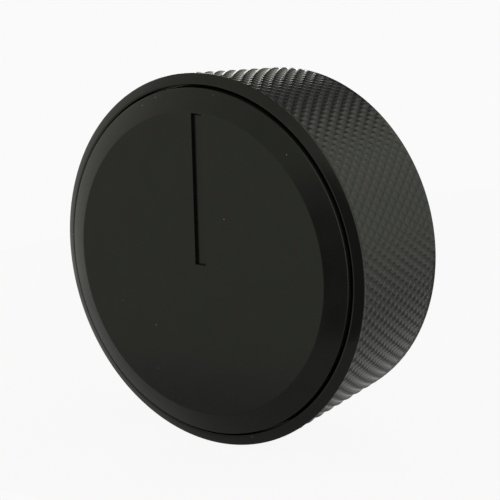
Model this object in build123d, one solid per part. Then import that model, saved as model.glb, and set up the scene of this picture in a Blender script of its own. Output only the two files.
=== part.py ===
"""Push-on control knob for a cooking range.

A tapered, diamond-knurled grip ring carries a bevelled front cap with an engraved pointer.
Behind them a moulded hub takes the stove's D-shaped shaft and holds it with a leaf spring.

Each piece is modelled on the knob's own axis: heights run along +Z towards the face, from the
hub's mouth at 0, and the pointer lies along +Y. write() then turns the piece into the knob's
frame as it sits on a range: the face looks along -Y, the pointer is up along +Z, and the
origin is the middle of the shaft bore's mouth. All lengths are millimetres.
"""

import math
import os

from build123d import *
from build123d.topology import SkipClean

# Grip ring, outside
lip_radius = 25.0  # widest edge, at the front
rear_radius = 22.68  # rear rim
grip_depth = 18.75  # front lip to rear rim
rim_overhang = 1.05  # how far the rim stands behind the hub's mouth
lip_margin = 0.45  # plain band behind the lip
rim_margin = 0.3  # plain band in front of the rim
knurl_starts = 100  # helical grooves of each hand
knurl_rows = 16  # half diamonds along the band; the first and last fade into its plain ends
knurl_depth = 0.2
crest_relief = 0.03  # crests lie this far under the plain bands
lip_rise = 0.46  # height of the bevelled lip above its widest edge
lip_bevel = 1.13  # width of that bevel
land_width = 0.39  # narrow flat between the bevel and the well
mouth_chamfer = 0.3  # on the rim's inner edge
edge_break = 0.1  # chamfer on the sharp outer edges of ring and cap

# Grip ring, inside
sleeve_wall = 2.28  # at the rear rim
well_depth = 1.96  # land to the floor that carries the cap
web_thickness = 2.2

# Front cap
cap_gap = 0.29  # dark groove between cap and lip
cap_edge_rise = 1.11  # cap's edge above the lip's widest edge
cap_bevel = 2.87
cap_bevel_rise = 1.42
cap_foot = 2.6  # solid wall around the hollow back
cap_front_wall = 2.3
pointer_width = 1.75
pointer_depth = 0.33
pointer_margin = 0.2  # pointer's outer end to the edge of the flat face
pointer_tail = 0.15  # its inner end lies this far past the centre

# Studs that hold the cap, with their push-on nuts
stud_count = 3
stud_radius = 1.5
stud_reach = 2.0  # beyond the back of the web
stud_chamfer = 0.35
stud_clearance = 0.1
stud_pad_radius = 3.0
nut_radius = 3.7
nut_room = 0.2  # nut to the inside of the ring
nut_thickness = 0.35
nut_dish = 0.35
nut_fit = 0.02
nut_slits = 6
nut_slit_width = 0.35
nut_slit_length = 1.2

# Hub
flange_gap = 0.3  # flange to the cap's nuts
flange_thickness = 2.5
spigot_wall = 1.95  # web between the spigot and the screws' countersinks
spigot_clearance = 0.05
spigot_recess = 0.3  # below the floor of the well
boss_radius = 6.6
collar_seat_radius = 6.0
collar_seat_length = 6.3
rib_count = 4
rib_thickness = 1.6
rib_inset = 0.3  # rib's foot inside the flange's edge
split_width = 1.0
split_length = 7.5

# Shaft bore, for a 6 mm shaft with a 4.5 mm flat
shaft_radius = 3.0
shaft_flat = 1.5  # axis to flat
bore_clearance = 0.05
key_clearance = 0.25  # round side of the D, so that the shaft bears at the mouth and on its flat
flat_clearance = 0.1
lead_in = 3.0  # round length at the mouth, before the D
bore_depth = 12.0

# Leaf spring that bears on the shaft's flat
spring_width = 3.8
spring_length = 8.0
spring_thickness = 0.3
spring_preload = 0.1  # its crown stands this far past the flat of a seated shaft
pocket_depth = 0.9  # below the flat of the bore
pocket_clearance = 0.1

# Collar around the split boss
collar_wall = 1.0
collar_inset = 0.6
collar_fit = 0.02
collar_chamfer = 0.25

# Countersunk screws between web and hub
screw_count = 4
screw_radius = 1.2
screw_head_radius = 2.35
screw_length = 6.0
screw_tip = 0.6  # height of its blunt point
pilot_room = 0.6  # pilot hole beyond the point
screw_clearance = 0.05
head_clearance = 0.03
through_clearance = 0.15
pad_radius = 2.4
pad_height = 2.5
pad_inset = 0.8  # screw pad to the flange's edge
recess_width = 0.6
recess_length = 2.6
recess_depth = 0.75

# Heights that follow from them
rim_height = -rim_overhang
lip_height = rim_height + grip_depth
land_height = lip_height + lip_rise
floor_height = land_height - well_depth
web_back = floor_height - web_thickness
band_low = rim_height + rim_margin
band_high = lip_height - lip_margin
cap_edge_height = lip_height + cap_edge_rise
face_height = cap_edge_height + cap_bevel_rise
hollow_height = face_height - cap_front_wall
stud_end = web_back - stud_reach
flange_back = web_back - flange_thickness
pad_end = flange_back - pad_height
screw_end = floor_height - screw_length
key_middle = (lead_in + bore_depth) / 2

# Radii that follow from them
land_outer = lip_radius - lip_bevel
well_radius = land_outer - land_width
sleeve_radius = rear_radius - sleeve_wall
stud_circle = sleeve_radius - nut_room - nut_radius
flange_radius = stud_circle - nut_radius - flange_gap
screw_circle = flange_radius - pad_inset - pad_radius
spigot_radius = screw_circle - screw_head_radius - spigot_wall
cap_radius = well_radius - cap_gap
face_radius = cap_radius - cap_bevel
hollow_radius = cap_radius - cap_foot
bore_radius = shaft_radius + bore_clearance
key_radius = shaft_radius + key_clearance
bore_flat = shaft_flat + flat_clearance
pilot_radius = screw_radius + screw_clearance
through_radius = screw_radius + through_clearance
collar_radius = collar_seat_radius + collar_fit
pocket_floor = bore_flat + pocket_depth
spring_bow = pocket_floor - spring_thickness - (shaft_flat - spring_preload)


def cone_radius(height):
    """Radius of the plain grip at a height: it narrows evenly towards the rear."""
    return lip_radius - (lip_radius - rear_radius) * (lip_height - height) / grip_depth


def turned(outline):
    """Solid of revolution from (radius, height) points. Its co-conical faces stay apart."""
    section = make_face(Polyline([(radius, 0, height) for radius, height in outline], close=True))
    return revolve(section, Axis.Z, clean=False)


def post(radius, low, high):
    """Round post on the axis between two heights."""
    return Pos(0, 0, low) * Cylinder(radius, high - low, align=(Align.CENTER, Align.CENTER, Align.MIN))


def around(count, radius, first=90.0):
    """Places on a circle about the axis, the first of them at the top."""
    step = 360.0 / count
    return [Rot(0, 0, first + step * index) * Pos(radius, 0, 0) for index in range(count)]


def circles_at(solid, radius, height):
    """Circular edges of a radius at a height."""
    rings = solid.edges().filter_by(GeomType.CIRCLE)
    return [e for e in rings if abs(e.radius - radius) < 1e-6 and abs(e.center().Z - height) < 1e-6]


def knurl_point(row, index):
    """Corner of the knurl: crests and groove crossings take turns round the ring."""
    height = band_low + (band_high - band_low) * row / knurl_rows
    at_end = row in (0, knurl_rows)
    is_crest = (row + index) % 2 == 0
    radius = cone_radius(height) - crest_relief - (0 if is_crest or at_end else knurl_depth)
    angle = math.pi / knurl_starts * index
    return Vector(radius * math.cos(angle), radius * math.sin(angle), height)


def knurl_faces():
    """Four flanks to each diamond, and its crest between the crossings of four grooves."""
    corners = 2 * knurl_starts
    grid = [[knurl_point(row, index) for index in range(corners)] for row in range(knurl_rows + 1)]
    flanks = []
    for row in range(knurl_rows):
        for index in range(corners):
            near, near_next = grid[row][index], grid[row][(index + 1) % corners]
            far, far_next = grid[row + 1][index], grid[row + 1][(index + 1) % corners]
            if (row + index) % 2 == 0:
                flanks += [(near, near_next, far), (near_next, far_next, far)]
            else:
                flanks += [(near, near_next, far_next), (near, far_next, far)]
    faces = [Face(Wire.make_polygon(list(flank), close=True)) for flank in flanks]
    return faces, Wire.make_polygon(grid[0], close=True), Wire.make_polygon(grid[-1], close=True)


def turned_grip_ring():
    """The ring as turned, before its holes: sleeve, lip, cap well and web in one piece."""
    ring = turned(
        [
            (sleeve_radius + mouth_chamfer, rim_height),
            (rear_radius, rim_height),
            (cone_radius(band_low), band_low),
            (cone_radius(band_high), band_high),
            (lip_radius, lip_height),
            (land_outer, land_height),
            (well_radius, land_height),
            (well_radius, floor_height),
            (spigot_radius + spigot_clearance, floor_height),
            (spigot_radius + spigot_clearance, web_back),
            (sleeve_radius, web_back),
            (sleeve_radius, rim_height + mouth_chamfer),
        ]
    )
    corners = [
        (lip_radius, lip_height),
        (land_outer, land_height),
        (well_radius, land_height),
        (rear_radius, rim_height),
    ]
    sharp = [edge for radius, height in corners for edge in circles_at(ring, radius, height)]
    return chamfer(sharp, edge_break)


def plain_grip_ring():
    """The turned ring with its stud and screw holes. Its co-conical faces stay apart."""
    holes = [
        place * post(stud_radius + stud_clearance, web_back, floor_height)
        for place in around(stud_count, stud_circle)
    ]
    sink_radius = screw_head_radius + head_clearance
    sink = turned(
        [
            (0, floor_height),
            (sink_radius, floor_height),
            (through_radius, floor_height - sink_radius + through_radius),
            (through_radius, web_back),
            (0, web_back),
        ]
    )
    holes += [place * sink for place in around(screw_count, screw_circle)]
    with SkipClean():
        return turned_grip_ring() - holes


def grip_ring():
    """The plain ring with the cone of its grip changed for the knurl and two low end steps."""
    ring = plain_grip_ring()
    middle = (band_low + band_high) / 2
    cones = ring.faces().filter_by(GeomType.CONE)
    band = min(cones, key=lambda face: abs(face.center().Z - middle))
    flanks, low_outline, high_outline = knurl_faces()
    steps = []
    for outline, height in ((low_outline, band_low), (high_outline, band_high)):
        rim = Wire(circles_at(band, cone_radius(height), height))
        steps.append(Face(rim, [outline]))
    kept = [face for face in ring.faces() if not face.is_same(band)]
    return Solid(Shell(flanks + steps + kept))


def front_cap():
    """Bevelled disc, hollow behind, with an engraved pointer and three studs."""
    cap = turned(
        [
            (0, floor_height),
            (cap_radius, floor_height),
            (cap_radius, cap_edge_height),
            (face_radius, face_height),
            (0, face_height),
        ]
    )
    sharp = circles_at(cap, cap_radius, cap_edge_height) + circles_at(cap, face_radius, face_height)
    cap = chamfer(sharp, edge_break)
    hollow = post(hollow_radius, floor_height, hollow_height)
    for place in around(stud_count, stud_circle):
        hollow -= place * post(stud_pad_radius, floor_height, hollow_height)
    cap -= hollow
    for place in around(stud_count, stud_circle):
        stud = post(stud_radius, stud_end, floor_height)
        cap += place * chamfer(stud.edges().group_by(Axis.Z)[0], stud_chamfer)
    pointer_end = face_radius - pointer_margin
    pointer = Box(pointer_width, pointer_end + pointer_tail, 2 * pointer_depth)
    return cap - Pos(0, (pointer_end - pointer_tail) / 2, face_height) * pointer


def cap_nut():
    """Dished spring-steel push nut whose slit tongues bite on a stud."""
    inner, top = stud_radius + nut_fit, web_back
    nut = turned(
        [
            (inner, top - nut_dish),
            (nut_radius, top),
            (nut_radius, top - nut_thickness),
            (inner, top - nut_dish - nut_thickness),
        ]
    )
    reach = inner + nut_slit_length
    slit = Pos(reach / 2, 0, top) * Box(reach, nut_slit_width, 2 * nut_radius)
    for index in range(nut_slits):
        nut -= Rot(0, 0, 360.0 / nut_slits * index) * slit
    return nut


def spring_pocket():
    """Room for the leaf spring under the flat of the bore."""
    width = spring_width + 2 * pocket_clearance
    length = spring_length + 2 * pocket_clearance
    return Pos(0, -pocket_floor / 2, key_middle) * Box(width, pocket_floor, length)


def shaft_bore():
    """The hole in the hub: round at the mouth, D-shaped beyond it, with the spring's pocket."""
    round_part = post(bore_radius, 0, lead_in)
    above_flat = Box(2 * key_radius, key_radius + bore_flat, 2 * bore_depth)
    key_part = post(key_radius, lead_in, bore_depth)
    key_part &= Pos(0, (key_radius - bore_flat) / 2, bore_depth) * above_flat
    return round_part + key_part + spring_pocket()


def hub():
    """Moulded carrier: flange, ribs and screw pads around a split boss."""
    body = post(flange_radius, flange_back, web_back)
    body += post(spigot_radius, web_back, floor_height - spigot_recess)
    body += post(boss_radius, collar_seat_length, flange_back)
    body += post(collar_seat_radius, 0, collar_seat_length)
    for place in around(screw_count, screw_circle):
        body += place * post(pad_radius, pad_end, flange_back)
    rib_outline = Polyline(
        [
            (collar_seat_radius - rib_inset, 0, collar_seat_length),
            (boss_radius, 0, collar_seat_length),
            (flange_radius - rib_inset, 0, flange_back),
            (collar_seat_radius - rib_inset, 0, flange_back),
        ],
        close=True,
    )
    rib = extrude(make_face(rib_outline), rib_thickness / 2, both=True)
    for index in range(rib_count):
        body += Rot(0, 0, 360.0 / rib_count * (index + 0.5)) * rib
    body -= shaft_bore()
    for place in around(screw_count, screw_circle):
        body -= place * post(pilot_radius, screw_end - pilot_room, web_back)
    return body - Pos(0, 0, split_length / 2) * Box(2 * flange_radius, split_width, split_length)


def shaft_spring():
    """Bowed strip: its ends lie on the pocket's floor and its crown meets the shaft's flat."""
    low, high = key_middle - spring_length / 2, key_middle + spring_length / 2
    seat, top = -pocket_floor, -pocket_floor + spring_thickness
    under = ThreePointArc((0, seat, low), (0, seat + spring_bow, key_middle), (0, seat, high))
    over = ThreePointArc((0, top, low), (0, top + spring_bow, key_middle), (0, top, high))
    ends = [Line((0, seat, low), (0, top, low)), Line((0, seat, high), (0, top, high))]
    strip = make_face([under, over] + ends)
    return extrude(strip, spring_width / 2, both=True)


def boss_collar():
    """Steel ring pressed round the split boss, up against its shoulder."""
    outer = collar_radius + collar_wall
    collar = post(outer, collar_inset, collar_seat_length)
    collar -= post(collar_radius, 0, collar_seat_length)
    ends = circles_at(collar, outer, collar_inset) + circles_at(collar, outer, collar_seat_length)
    return chamfer(ends, collar_chamfer)


def hub_screw():
    """Countersunk screw with a cross recess, head flush with the floor of the well."""
    screw = turned(
        [
            (0, floor_height),
            (screw_head_radius, floor_height),
            (screw_radius, floor_height - screw_head_radius + screw_radius),
            (screw_radius, screw_end + screw_tip),
            (screw_radius - screw_tip, screw_end),
            (0, screw_end),
        ]
    )
    slot = Pos(0, 0, floor_height) * Box(recess_length, recess_width, 2 * recess_depth)
    return screw - slot - Rot(0, 0, 90) * slot


def write(node, *pieces):
    """Turn pieces from the turning axis into the knob's frame and write them as one node."""
    placed = [Rot(90, 0, 0) * piece for piece in pieces]
    export_step(Compound(placed), f"parts/{node}.step")


def main():
    os.makedirs("parts", exist_ok=True)
    write("grip_ring", grip_ring())
    write("front_cap", front_cap())
    write("hub", hub())
    write("shaft_spring", shaft_spring())
    write("boss_collar", boss_collar())
    write("hub_screws", *[place * hub_screw() for place in around(screw_count, screw_circle)])
    write("cap_nuts", *[place * cap_nut() for place in around(stud_count, stud_circle)])


main()
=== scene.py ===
"""Stove knob: its looks, its studio and the camera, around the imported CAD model.

Round pieces are worked out on the knob's own turning axis: heights run towards the face from
the hub's mouth, angles run round from +X, and the pointer is at a quarter turn. TURN then takes
them into the knob's frame, where the face looks along -Y. All lengths are metres.
"""

import math

import bmesh
import bpy
from mathutils import Matrix, Vector

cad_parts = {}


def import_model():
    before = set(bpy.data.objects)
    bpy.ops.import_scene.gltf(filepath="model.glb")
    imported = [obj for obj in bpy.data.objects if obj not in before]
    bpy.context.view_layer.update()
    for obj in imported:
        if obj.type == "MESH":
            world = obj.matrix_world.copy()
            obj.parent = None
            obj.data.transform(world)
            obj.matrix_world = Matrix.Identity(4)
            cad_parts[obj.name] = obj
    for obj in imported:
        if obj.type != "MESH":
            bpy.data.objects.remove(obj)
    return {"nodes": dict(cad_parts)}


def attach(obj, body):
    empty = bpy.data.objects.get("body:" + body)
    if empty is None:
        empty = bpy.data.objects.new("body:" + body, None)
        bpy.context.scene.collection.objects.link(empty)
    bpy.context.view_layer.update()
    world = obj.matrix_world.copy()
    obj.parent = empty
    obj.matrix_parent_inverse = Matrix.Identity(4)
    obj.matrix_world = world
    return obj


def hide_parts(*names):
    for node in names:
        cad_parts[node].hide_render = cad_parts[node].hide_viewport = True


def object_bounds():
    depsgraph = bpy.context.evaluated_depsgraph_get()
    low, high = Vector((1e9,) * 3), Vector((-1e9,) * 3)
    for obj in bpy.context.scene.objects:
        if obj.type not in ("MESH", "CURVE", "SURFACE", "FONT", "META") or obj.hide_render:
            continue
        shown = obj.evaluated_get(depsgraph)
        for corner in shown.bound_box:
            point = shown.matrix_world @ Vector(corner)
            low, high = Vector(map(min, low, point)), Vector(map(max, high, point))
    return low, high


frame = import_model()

CAD_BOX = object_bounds()
MM = 0.001
TURN = Matrix.Rotation(math.radians(90), 4, "X")

# The frame gives the heights of the knob's two ends. The other sizes are the CAD part's, except
# that the land, the groove, the knurl and the pointer were read from the photograph once more,
# so they differ a little from the solids.
FACE_HEIGHT = -CAD_BOX[0][1]
RIM_HEIGHT = -CAD_BOX[1][1]

# Grip ring, outside
LIP_RADIUS = 25.0 * MM  # widest edge, at the front
REAR_RADIUS = 22.68 * MM  # rear rim
GRIP_DEPTH = 18.75 * MM  # widest edge to rear rim
LIP_HEIGHT = RIM_HEIGHT + GRIP_DEPTH
LIP_BEVEL = 1.2 * MM  # width of the bevel between the widest edge and the land
LIP_RISE = 0.62 * MM  # height of that bevel
LAND_OUTER = LIP_RADIUS - LIP_BEVEL
LAND_HEIGHT = LIP_HEIGHT + LIP_RISE
LAND_WIDTH = 0.3 * MM  # narrow flat beside the well
LIP_ROUND = 0.12 * MM
RIM_ROUND = 0.15 * MM

# Grip ring, inside
WELL_RADIUS = LAND_OUTER - LAND_WIDTH
WELL_DEPTH = 2.12 * MM  # land to the floor that carries the cap
WELL_FLOOR = LAND_HEIGHT - WELL_DEPTH
WEB_THICKNESS = 2.2 * MM
WEB_BACK = WELL_FLOOR - WEB_THICKNESS
SPIGOT_HOLE = 5.05 * MM
SLEEVE_WALL = 2.28 * MM  # at the rear rim
SLEEVE_RADIUS = REAR_RADIUS - SLEEVE_WALL
MOUTH_CHAMFER = 0.3 * MM
MOUTH_ROUND = 0.15 * MM
INNER_ROUND = 0.3 * MM  # corners inside the sleeve and inside the hollow cap

# Knurl
LIP_MARGIN = 0.08 * MM  # plain band behind the lip
RIM_MARGIN = 0.15 * MM  # plain band in front of the rim
BAND_LOW = RIM_HEIGHT + RIM_MARGIN
BAND_HIGH = LIP_HEIGHT - LIP_MARGIN
STARTS = 100  # helical grooves of each hand
PITCH = 2 * math.pi / STARTS  # angle from groove to groove
ROWS = 16  # half diamonds along the band
KNURL_DEPTH = 0.2 * MM
CREST_RISE = 0.05 * MM  # the crests stand this far over the plain cone
SOFT_SHARE = 0.08  # half a groove's floor and half a crest's crown, as a share of the pitch
CROWN_DEPTH = 0.1  # how much of the knurl's depth the crown takes
RUN_OUT = 0.35  # rows over which the grooves fade at the band's two ends
KNURL_TURN = math.radians(1.3)  # the first crest's angle

# Front cap
CAP_GAP = 0.3 * MM  # dark groove between cap and land
CAP_RADIUS = WELL_RADIUS - CAP_GAP
CAP_BEVEL = 2.88 * MM  # width of the bevel round the face
CAP_BEVEL_RISE = 1.42 * MM  # height of that bevel
CAP_EDGE_HEIGHT = FACE_HEIGHT - CAP_BEVEL_RISE
CAP_ROUND = 0.16 * MM
FACE_RADIUS = CAP_RADIUS - CAP_BEVEL
FACE_ROUND = 0.5 * MM
CAP_WALL = 2.61 * MM  # around the hollow back
CAP_FRONT_WALL = 2.3 * MM
HOLLOW_RADIUS = CAP_RADIUS - CAP_WALL
HOLLOW_HEIGHT = FACE_HEIGHT - CAP_FRONT_WALL

# Engraved pointer
POINTER_WIDTH = 1.75 * MM
POINTER_DEPTH = 0.42 * MM
POINTER_MARGIN = 0.2 * MM  # its upper end to the edge of the face
POINTER_END = FACE_RADIUS - POINTER_MARGIN
POINTER_SLOPE = 0.3 * MM  # its upper end slopes in by this much down to its floor
POINTER_TAIL = 0.15 * MM  # its lower end lies this far past the centre

# The cap's studs and the hub's screws
STUD_COUNT = 3
STUD_CIRCLE = 16.5 * MM
STUD_RADIUS = 1.5 * MM
STUD_REACH = 2.0 * MM  # beyond the back of the web
STUD_CLEARANCE = 0.1 * MM
STUD_PAD_RADIUS = 3.0 * MM
SCREW_COUNT = 4
SCREW_CIRCLE = 9.3 * MM
SCREW_HOLE = 1.35 * MM
SINK_RADIUS = 2.38 * MM  # countersink at the floor of the well

# Mesh
TOOL_SEGMENTS = 48
CAP_SEGMENTS = 360
OVERLAP = 1.0 * MM  # how far tools reach past the faces that they cut or join
MELT = 1e-7  # points closer than this become one
SEAM = 2e-6  # the same, where the knurl meets the plain ring
KEY_GRID = 1e5  # points of neighbouring diamonds that agree to one part in this are the same
RING_SHARP = math.radians(30)  # edges steeper than this stay sharp
CAP_SHARP = math.radians(35)

# Materials
SPECULAR = 0.34
REFLECTION_TINT = (0.95, 1.0, 0.9, 1)  # what isn't metal mirrors the studio a little greener
BLOTCH = 4 * MM  # size of the patches in which tone and gloss vary
NOISE_LOW, NOISE_HIGH = 0.3, 0.7  # nearly all of a noise texture's values lie between these
DUST_SPACING = 2 * MM
DUST_SIZE = 0.16 * MM
DUST_SHARE = 0.17  # of the places where a speck could lie
DUST_COLOUR = (0.2, 0.2, 0.19, 1)

# The camera stands at the knob's right and a little above it.
VIEW_AZIMUTH = 38.955
VIEW_ELEVATION = 13.297
VIEW_ROLL = -1.595
VIEW_DISTANCE = 513.4 * MM
VIEW_TARGET = Vector((-4.531, -4.24, -1.9)) * MM
VIEW_END = 10  # the camera sees as far as this
LENS = 273.48  # the camera's own settings take plain millimetres
SENSOR = 36

# The knob stands on its lip near the front of a round floor.
FLOOR_GAP = 0.1 * MM  # under the lip, so that the knurl's crests clear the floor too
FLOOR_LEVEL = -LIP_RADIUS - FLOOR_GAP
FLOOR_MIDDLE = 50 * MM  # behind the knob
FLOOR_RADIUS = 100 * MM
FLOOR_SEGMENTS = 96
FLOOR_COLOUR = (0.42, 0.42, 0.42, 1)  # of its matt share, which takes the shadow
FLOOR_WHITE = 0.92  # share of plain white that the camera sees; the rest is matt
FLOOR_GLOSS = 0.18  # the same share in reflections

# Studio: the white that the camera sees, and the soft light on the knob from all round
WHITE = (1, 1, 1, 1)
BACKGROUND = 0.955
FILL = 0.78
STUDIO_COLOUR = (0.98, 1.0, 0.91, 1)

# Lights and dark cards, in degrees: azimuth, elevation, the angle within which each is whole and
# the one beyond which it is gone. Last is its level, which a light adds and a card multiplies by.
BROAD_LIGHTS = [
    (118, 28, 20, 88, 0.5),  # on the right
    (175, 62, 8, 36, 0.52),  # overhead, behind
]
DARK_CARDS = [
    (20, -8, 17, 38, 0.18),  # the photographer's side
    (188, -6, 6, 52, 0.3),  # behind
    (218, 46, 13, 44, 0.1),  # behind on the left, high
    (0, 85, 10, 40, 0.55),  # overhead
    (330, 50, 20, 55, 0.78),  # in front, high on the left
    (285, -35, 20, 55, 0.72),  # low on the left
]
BACK_LIGHTS = [  # narrow, to graze the knurl from behind
    (228, 19, 3, 13, 11.0),
    (232, 34, 3, 17, 2.2),
]


# ---------------------------------------------------------------- mesh helpers


def cone_radius(height):
    """Radius of the plain grip at a height."""
    taper = (LIP_RADIUS - REAR_RADIUS) / (LIP_HEIGHT - RIM_HEIGHT)
    return LIP_RADIUS - taper * (LIP_HEIGHT - height)


def soften(outline, steps=4):
    """Outline of (radius, height, round) corners, each corner swapped for an arc of its round."""
    out = []
    count = len(outline)
    for index, (radius, height, rounding) in enumerate(outline):
        here = Vector((radius, height))
        if not rounding:
            out.append(tuple(here))
            continue
        before = (Vector(outline[index - 1][:2]) - here).normalized()
        after = (Vector(outline[(index + 1) % count][:2]) - here).normalized()
        half = before.angle(after) / 2
        reach = rounding / math.tan(half)
        centre = here + (before + after).normalized() * (rounding / math.sin(half))
        start = here + before * reach - centre
        turn = start.angle_signed(here + after * reach - centre)
        for step in range(steps + 1):
            arm = start.copy()
            arm.rotate(Matrix.Rotation(-turn * step / steps, 2))
            out.append(tuple(centre + arm))
    return out


def even_angles(count):
    """Angles evenly round the axis, from +X."""
    return [2 * math.pi * index / count for index in range(count)]


def lathe(outline, angles):
    """Closed solid of revolution as a bmesh. Rings of radius 0 melt into one point."""
    bm = bmesh.new()
    rings = []
    for radius, height in outline:
        rings.append(
            [bm.verts.new((radius * math.cos(a), radius * math.sin(a), height)) for a in angles]
        )
    for index, ring in enumerate(rings):
        following = rings[(index + 1) % len(rings)]
        for k, corner in enumerate(ring):
            beside = (k + 1) % len(angles)
            bm.faces.new((corner, ring[beside], following[beside], following[k]))
    bmesh.ops.remove_doubles(bm, verts=bm.verts, dist=MELT)
    bmesh.ops.dissolve_degenerate(bm, edges=bm.edges, dist=MELT)
    bmesh.ops.recalc_face_normals(bm, faces=bm.faces)
    return bm


def to_object(name, bm):
    """Put a bmesh into the scene as an object."""
    mesh = bpy.data.meshes.new(name)
    bm.to_mesh(mesh)
    bm.free()
    obj = bpy.data.objects.new(name, mesh)
    bpy.context.scene.collection.objects.link(obj)
    return obj


def turned_tool(outline, place):
    """Small turned solid for a boolean, moved to its place."""
    bm = lathe(outline, even_angles(TOOL_SEGMENTS))
    bmesh.ops.transform(bm, matrix=place, verts=bm.verts)
    return to_object("tool", bm)


def post(radius, low, high, place):
    """Round post between two heights."""
    return turned_tool([(0, low), (radius, low), (radius, high), (0, high)], place)


def around(count, radius):
    """Places evenly on a circle about the axis, the first of them towards the pointer's end."""
    out = Matrix.Translation((radius, 0, 0))
    return [Matrix.Rotation(math.pi / 2 + angle, 4, "Z") @ out for angle in even_angles(count)]


def carve(obj, tools, operation="DIFFERENCE"):
    """Apply one exact boolean with each tool, and drop the tools."""
    for tool in tools:
        modifier = obj.modifiers.new("cut", "BOOLEAN")
        modifier.solver = "EXACT"
        modifier.operation = operation
        modifier.object = tool
    graph = bpy.context.evaluated_depsgraph_get()
    carved = bpy.data.meshes.new_from_object(obj.evaluated_get(graph))
    obj.modifiers.clear()
    obj.data = carved
    for tool in tools:
        bpy.data.objects.remove(tool)


def finish_piece(obj, node, look, sharp):
    """Turn a piece into the knob's frame, shade it and let it stand for its CAD node."""
    mesh = obj.data
    mesh.transform(TURN)
    mesh.shade_smooth()
    mesh.set_sharp_from_angle(angle=sharp)
    mesh.materials.clear()
    mesh.materials.append(look)
    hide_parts(node)
    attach(obj, "root")


# ---------------------------------------------------------------- knurl

# A diamond's mesh lines, from groove over crest to groove, as shares of the pitch. The plain
# ring has its lines at the same angles, so that the two meet point for point.
STEPS = [0, SOFT_SHARE, 0.5 - SOFT_SHARE, 0.5, 0.5 + SOFT_SHARE, 1 - SOFT_SHARE, 1]
CELLS = len(STEPS) - 1
RING_ANGLES = [KNURL_TURN + PITCH * (k + share - 0.5) for k in range(STARTS) for share in STEPS[:-1]]


def knurl_rise(way):
    """Height of the knurl, 0 to 1, by the way from groove (0) to crest (0.5)."""
    flank = (way - SOFT_SHARE) / (0.5 - 2 * SOFT_SHARE) * (1 - CROWN_DEPTH)
    crown = 1 - CROWN_DEPTH * ((0.5 - way) / SOFT_SHARE) ** 2
    return max(0.0, flank if way < 0.5 - SOFT_SHARE else crown)


def knurl_corner(bm, corners, row, column, p, q):
    """Point of a diamond's mesh, shared with its neighbours. p and q run along its two sides."""
    along, across = row + p - q, column + p + q - 1
    key = (round(along * KEY_GRID), round(across * KEY_GRID) % round(2 * KEY_GRID * STARTS))
    if key not in corners:
        height = BAND_LOW + (BAND_HIGH - BAND_LOW) * along / ROWS
        sunk = KNURL_DEPTH * (1 - knurl_rise(min(p, 1 - p, q, 1 - q))) - CREST_RISE
        fade = min(1, along / RUN_OUT, (ROWS - along) / RUN_OUT)
        radius = cone_radius(height) - sunk * fade
        angle = KNURL_TURN + PITCH / 2 * across
        corners[key] = bm.verts.new((radius * math.cos(angle), radius * math.sin(angle), height))
    return corners[key]


def diamond(bm, corners, row, column):
    """One diamond, its crest at (row, column); at the band's two ends only half of it.

    The cells on its diagonals, where it has its four ridges, are split along them.
    """
    for i in range(CELLS):
        for j in range(CELLS):
            if (row == 0 and i < j) or (row == ROWS and i > j):
                continue
            ring = [(i, j), (i + 1, j), (i + 1, j + 1), (i, j + 1)]
            if i == j and row == 0:
                ring.pop(3)
            if i == j and row == ROWS:
                ring.pop(1)
            cell = [knurl_corner(bm, corners, row, column, STEPS[a], STEPS[b]) for a, b in ring]
            if len(cell) == 3:
                bm.faces.new(cell)
            elif i == j:
                bm.faces.new(cell[:3])
                bm.faces.new([cell[0], cell[2], cell[3]])
            elif i + j == CELLS - 1:
                bm.faces.new([cell[0], cell[1], cell[3]])
                bm.faces.new(cell[1:])
            else:
                bm.faces.new(cell)


def in_band(face):
    """Whether a face of the plain ring is where the knurl goes: its middle is well inside."""
    middle = face.calc_center_median()
    return middle.xy.length > REAR_RADIUS - MM and BAND_LOW + MM < middle.z < BAND_HIGH - MM


def knurl(bm):
    """Swap the plain ring's band for diamonds."""
    bmesh.ops.delete(bm, geom=[face for face in bm.faces if in_band(face)], context="FACES")
    corners = {}
    for row in range(ROWS + 1):
        for column in range(row % 2, 2 * STARTS, 2):
            diamond(bm, corners, row, column)
    bmesh.ops.remove_doubles(bm, verts=bm.verts, dist=SEAM)
    bmesh.ops.recalc_face_normals(bm, faces=bm.faces)


# ---------------------------------------------------------------- grip ring


def ring_outline():
    """Section of the ring: its mouth, the outside, the lip, the well, the web and the sleeve."""
    return soften(
        [
            (SLEEVE_RADIUS + MOUTH_CHAMFER, RIM_HEIGHT, MOUTH_ROUND),
            (REAR_RADIUS, RIM_HEIGHT, RIM_ROUND),
            (cone_radius(BAND_LOW), BAND_LOW, 0),
            (cone_radius(BAND_HIGH), BAND_HIGH, 0),
            (LIP_RADIUS, LIP_HEIGHT, LIP_ROUND),
            (LAND_OUTER, LAND_HEIGHT, LIP_ROUND),
            (WELL_RADIUS, LAND_HEIGHT, LIP_ROUND),
            (WELL_RADIUS, WELL_FLOOR, 0),
            (SPIGOT_HOLE, WELL_FLOOR, 0),
            (SPIGOT_HOLE, WEB_BACK, 0),
            (SLEEVE_RADIUS, WEB_BACK, INNER_ROUND),
            (SLEEVE_RADIUS, RIM_HEIGHT + MOUTH_CHAMFER, MOUTH_ROUND),
        ]
    )


def web_holes():
    """Tools that cut the web's holes for the cap's studs and the countersunk screws."""
    low = WEB_BACK - OVERLAP
    high = WELL_FLOOR + OVERLAP
    sink = [
        (0, high),
        (SINK_RADIUS + OVERLAP, high),
        (SCREW_HOLE, WELL_FLOOR - SINK_RADIUS + SCREW_HOLE),
        (SCREW_HOLE, low),
        (0, low),
    ]
    hole = STUD_RADIUS + STUD_CLEARANCE
    studs = [post(hole, low, high, place) for place in around(STUD_COUNT, STUD_CIRCLE)]
    screws = [turned_tool(sink, place) for place in around(SCREW_COUNT, SCREW_CIRCLE)]
    return studs + screws


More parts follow.
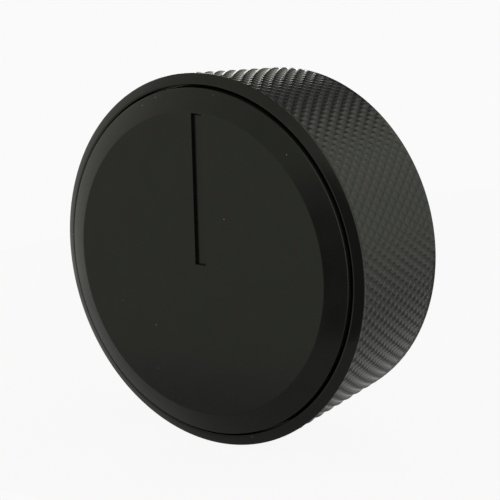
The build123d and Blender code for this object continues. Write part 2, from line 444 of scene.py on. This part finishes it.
def knurled_ring(look):
    """The grip ring: turned, drilled and then knurled."""
    ring = to_object("knurled_ring", lathe(ring_outline(), RING_ANGLES))
    carve(ring, web_holes())
    bm = bmesh.new()
    bm.from_mesh(ring.data)
    knurl(bm)
    bm.to_mesh(ring.data)
    bm.free()
    finish_piece(ring, "grip_ring", look, RING_SHARP)


# ---------------------------------------------------------------- front cap


def cap_outline():
    """Section of the cap: its hollow back, the foot, the bevel and the face."""
    return soften(
        [
            (0, HOLLOW_HEIGHT, 0),
            (HOLLOW_RADIUS, HOLLOW_HEIGHT, INNER_ROUND),
            (HOLLOW_RADIUS, WELL_FLOOR, 0),
            (CAP_RADIUS, WELL_FLOOR, 0),
            (CAP_RADIUS, CAP_EDGE_HEIGHT, CAP_ROUND),
            (FACE_RADIUS, FACE_HEIGHT, FACE_ROUND),
            (0, FACE_HEIGHT, 0),
        ]
    )


def cap_studs():
    """The studs and the pads at their roots, to be joined to the cap."""
    studs = []
    for place in around(STUD_COUNT, STUD_CIRCLE):
        studs.append(post(STUD_PAD_RADIUS, WELL_FLOOR, HOLLOW_HEIGHT + OVERLAP, place))
        studs.append(post(STUD_RADIUS, WEB_BACK - STUD_REACH, HOLLOW_HEIGHT + OVERLAP, place))
    return studs


def pointer_tool():
    """Box that cuts the pointer, as far out of the face as into it. Its upper end slopes."""
    bm = bmesh.new()
    bmesh.ops.create_cube(bm, size=1)
    size = Matrix.Diagonal((POINTER_WIDTH, POINTER_END + POINTER_TAIL, 2 * POINTER_DEPTH, 1))
    place = Matrix.Translation((0, (POINTER_END - POINTER_TAIL) / 2, FACE_HEIGHT))
    bmesh.ops.transform(bm, matrix=place @ size, verts=bm.verts)
    for corner in bm.verts:
        if corner.co.y > 0:
            corner.co.y += POINTER_SLOPE if corner.co.z > FACE_HEIGHT else -POINTER_SLOPE
    return to_object("tool", bm)


def bevelled_cap(look):
    """The front cap with its studs and its engraved pointer."""
    cap = to_object("bevelled_cap", lathe(cap_outline(), even_angles(CAP_SEGMENTS)))
    carve(cap, cap_studs(), "UNION")
    carve(cap, [pointer_tool()])
    finish_piece(cap, "front_cap", look, CAP_SHARP)


# ---------------------------------------------------------------- materials


def add_node(tree, kind, **inputs):
    """New node with these inputs set. An underscore in an input's name stands for a space."""
    made = tree.nodes.new(kind)
    for key, value in inputs.items():
        made.inputs[key.replace("_", " ")].default_value = value
    return made


def combine(tree, operation, first, second):
    """Result of a math operation on two values, each a float or another node's output."""
    made = tree.nodes.new("ShaderNodeMath")
    made.operation = operation
    for socket, value in zip(made.inputs, (first, second)):
        if isinstance(value, float):
            socket.default_value = value
        else:
            tree.links.new(value, socket)
    return made.outputs["Value"]


def grain(tree, size, detail=2.0):
    """Noise whose lumps are about this size, in metres."""
    place = tree.nodes.new("ShaderNodeTexCoord")
    noise = add_node(tree, "ShaderNodeTexNoise", Scale=1 / size, Detail=detail)
    tree.links.new(place.outputs["Object"], noise.inputs["Vector"])
    return noise.outputs["Fac"]


def spread(tree, noise, low, high):
    """Stretch a noise value over a range."""
    made = add_node(
        tree,
        "ShaderNodeMapRange",
        From_Min=NOISE_LOW,
        From_Max=NOISE_HIGH,
        To_Min=low,
        To_Max=high,
    )
    tree.links.new(noise, made.inputs["Value"])
    return made.outputs["Result"]


def two_tones(tree, noise, dark, pale):
    """Colour between two tones by a noise value."""
    ramp = tree.nodes.new("ShaderNodeValToRGB")
    first, last = ramp.color_ramp.elements
    first.position, first.color = NOISE_LOW, (*dark, 1)
    last.position, last.color = NOISE_HIGH, (*pale, 1)
    tree.links.new(noise, ramp.inputs["Fac"])
    return ramp.outputs["Color"]


def specks(tree):
    """1 on sparse round specks, 0 elsewhere."""
    place = tree.nodes.new("ShaderNodeTexCoord")
    cells = add_node(tree, "ShaderNodeTexVoronoi", Scale=1 / DUST_SPACING)
    tree.links.new(place.outputs["Object"], cells.inputs["Vector"])
    near = combine(tree, "LESS_THAN", cells.outputs["Distance"], DUST_SIZE / 2 / DUST_SPACING)
    parts = tree.nodes.new("ShaderNodeSeparateColor")
    tree.links.new(cells.outputs["Color"], parts.inputs["Color"])
    chosen = combine(tree, "LESS_THAN", parts.outputs["Red"], DUST_SHARE)
    return combine(tree, "MULTIPLY", near, chosen)


def dusted(tree, colour):
    """The colour with specks of dust over it."""
    mix = tree.nodes.new("ShaderNodeMix")
    mix.data_type = "RGBA"
    # The Mix node has several sockets of each name, so those for colours go by number.
    tree.links.new(specks(tree), mix.inputs[0])
    tree.links.new(colour, mix.inputs[6])
    mix.inputs[7].default_value = DUST_COLOUR
    return mix.outputs[2]


def material(name, dark, pale, rough, grain_size, bump_height, metallic=0.0, dusty=False):
    """Two close tones, uneven gloss, a fine grain in relief and, where dusty, a few specks."""
    made = bpy.data.materials.new(name)
    made.use_nodes = True
    tree = made.node_tree
    shader = tree.nodes["Principled BSDF"]
    shader.inputs["Metallic"].default_value = metallic
    shader.inputs["Specular IOR Level"].default_value = SPECULAR
    if not metallic:
        shader.inputs["Specular Tint"].default_value = REFLECTION_TINT
    patches = grain(tree, BLOTCH)
    colour = two_tones(tree, patches, dark, pale)
    if dusty:
        colour = dusted(tree, colour)
    tree.links.new(colour, shader.inputs["Base Color"])
    tree.links.new(spread(tree, patches, *rough), shader.inputs["Roughness"])
    bump = add_node(tree, "ShaderNodeBump", Strength=1.0, Distance=bump_height)
    tree.links.new(grain(tree, grain_size), bump.inputs["Height"])
    tree.links.new(bump.outputs["Normal"], shader.inputs["Normal"])
    return made


# ---------------------------------------------------------------- studio and camera


def direction(azimuth, elevation):
    """Unit vector from the knob: azimuth 0 is in front of the face, 90 on its right."""
    a, e = math.radians(azimuth), math.radians(elevation)
    return Vector((math.sin(a) * math.cos(e), -math.cos(a) * math.cos(e), math.sin(e)))


def camera():
    """The photograph's viewpoint."""
    data = bpy.data.cameras.new("camera")
    data.sensor_width = SENSOR
    data.lens = LENS
    data.clip_end = VIEW_END
    obj = bpy.data.objects.new("camera", data)
    bpy.context.scene.collection.objects.link(obj)
    way = direction(VIEW_AZIMUTH, VIEW_ELEVATION)
    aim = (-way).to_track_quat("-Z", "Y").to_matrix().to_4x4()
    roll = Matrix.Rotation(math.radians(VIEW_ROLL), 4, "Z")
    obj.matrix_world = Matrix.Translation(VIEW_TARGET + way * VIEW_DISTANCE) @ aim @ roll
    bpy.context.scene.camera = obj


def toward(tree, azimuth, elevation, inner, outer, inside, outside):
    """Value by the angle to a direction: inside it within inner degrees, outside beyond outer."""
    place = tree.nodes.new("ShaderNodeTexCoord")
    dot = tree.nodes.new("ShaderNodeVectorMath")
    dot.operation = "DOT_PRODUCT"
    dot.inputs[1].default_value = direction(azimuth, elevation)
    tree.links.new(place.outputs["Generated"], dot.inputs[0])
    made = add_node(
        tree,
        "ShaderNodeMapRange",
        From_Min=math.cos(math.radians(outer)),
        From_Max=math.cos(math.radians(inner)),
        To_Min=outside,
        To_Max=inside,
    )
    made.interpolation_type = "SMOOTHSTEP"
    tree.links.new(dot.outputs["Value"], made.inputs["Value"])
    return made.outputs["Result"]


def seen_directly(tree, rays):
    """1 for rays from the camera or through glass, 0 for all others."""
    return combine(tree, "MAXIMUM", rays.outputs["Is Camera Ray"], rays.outputs["Is Transmission Ray"])


def mix_shaders(tree, share, first, second, output):
    """Lead two shaders to the output: the second by its share, and the first by the rest."""
    mix = tree.nodes.new("ShaderNodeMixShader")
    tree.links.new(share, mix.inputs["Fac"])
    tree.links.new(first, mix.inputs[1])
    tree.links.new(second, mix.inputs[2])
    tree.links.new(mix.outputs["Shader"], output.inputs["Surface"])


def world():
    """White to the camera; soft studio light of a fill, lights and dark cards to the knob."""
    made = bpy.data.worlds.new("studio")
    bpy.context.scene.world = made
    made.use_nodes = True
    tree = made.node_tree
    level = FILL
    for light in BROAD_LIGHTS:
        level = combine(tree, "ADD", level, toward(tree, *light, 0.0))
    for card in DARK_CARDS:
        level = combine(tree, "MULTIPLY", level, toward(tree, *card, 1.0))
    for light in BACK_LIGHTS:
        level = combine(tree, "ADD", level, toward(tree, *light, 0.0))
    studio = tree.nodes["Background"]
    studio.inputs["Color"].default_value = STUDIO_COLOUR
    tree.links.new(level, studio.inputs["Strength"])
    plain = add_node(tree, "ShaderNodeBackground", Color=WHITE, Strength=BACKGROUND)
    rays = tree.nodes.new("ShaderNodeLightPath")
    mix_shaders(
        tree,
        seen_directly(tree, rays),
        studio.outputs["Background"],
        plain.outputs["Background"],
        tree.nodes["World Output"],
    )


def floor_material():
    """Pale matt floor that reads as white and still takes the knob's shadow."""
    made = bpy.data.materials.new("floor_paper")
    made.use_nodes = True
    tree = made.node_tree
    tree.nodes.clear()
    matt = add_node(tree, "ShaderNodeBsdfDiffuse", Color=FLOOR_COLOUR)
    white = add_node(tree, "ShaderNodeEmission", Color=WHITE, Strength=1.0)
    rays = tree.nodes.new("ShaderNodeLightPath")
    seen = combine(tree, "MULTIPLY", seen_directly(tree, rays), FLOOR_WHITE)
    gloss = combine(tree, "MULTIPLY", rays.outputs["Is Glossy Ray"], FLOOR_GLOSS)
    mix_shaders(
        tree,
        combine(tree, "MAXIMUM", seen, gloss),
        matt.outputs["BSDF"],
        white.outputs["Emission"],
        tree.nodes.new("ShaderNodeOutputMaterial"),
    )
    return made


def floor(look):
    """Round sheet under the knob."""
    bm = bmesh.new()
    bmesh.ops.create_circle(bm, cap_ends=True, segments=FLOOR_SEGMENTS, radius=FLOOR_RADIUS)
    bmesh.ops.translate(bm, verts=bm.verts, vec=(0, FLOOR_MIDDLE, FLOOR_LEVEL))
    plane = to_object("floor", bm)
    plane.data.materials.append(look)


# ---------------------------------------------------------------- the pieces' looks

anodised = material(
    "black_anodised",
    dark=(0.004, 0.004, 0.004),
    pale=(0.006, 0.006, 0.006),
    rough=(0.11, 0.14),
    grain_size=0.08 * MM,
    bump_height=0.001 * MM,
    dusty=True,
)
painted = material(
    "black_painted",
    dark=(0.004, 0.004, 0.004),
    pale=(0.006, 0.006, 0.006),
    rough=(0.25, 0.3),
    grain_size=0.12 * MM,
    bump_height=0.002 * MM,
    dusty=True,
)
nylon = material(
    "black_nylon",
    dark=(0.02, 0.02, 0.02),
    pale=(0.03, 0.03, 0.03),
    rough=(0.45, 0.55),
    grain_size=0.2 * MM,
    bump_height=0.01 * MM,
)
zinc = material(
    "zinc_steel",
    dark=(0.5, 0.51, 0.52),
    pale=(0.62, 0.63, 0.64),
    rough=(0.28, 0.38),
    grain_size=0.3 * MM,
    bump_height=0.003 * MM,
    metallic=1.0,
)
spring_steel = material(
    "spring_steel",
    dark=(0.2, 0.2, 0.21),
    pale=(0.3, 0.3, 0.31),
    rough=(0.3, 0.42),
    grain_size=0.3 * MM,
    bump_height=0.003 * MM,
    metallic=1.0,
)

looks = {
    "hub": nylon,
    "boss_collar": zinc,
    "hub_screws": zinc,
    "shaft_spring": spring_steel,
    "cap_nuts": spring_steel,
}

# ---------------------------------------------------------------- the scene

knurled_ring(anodised)
bevelled_cap(painted)
for name, look in looks.items():
    for material_slot in frame["nodes"][name].material_slots:
        material_slot.material = look

camera()
world()
floor(floor_material())
bpy.context.scene.view_settings.view_transform = "Standard"
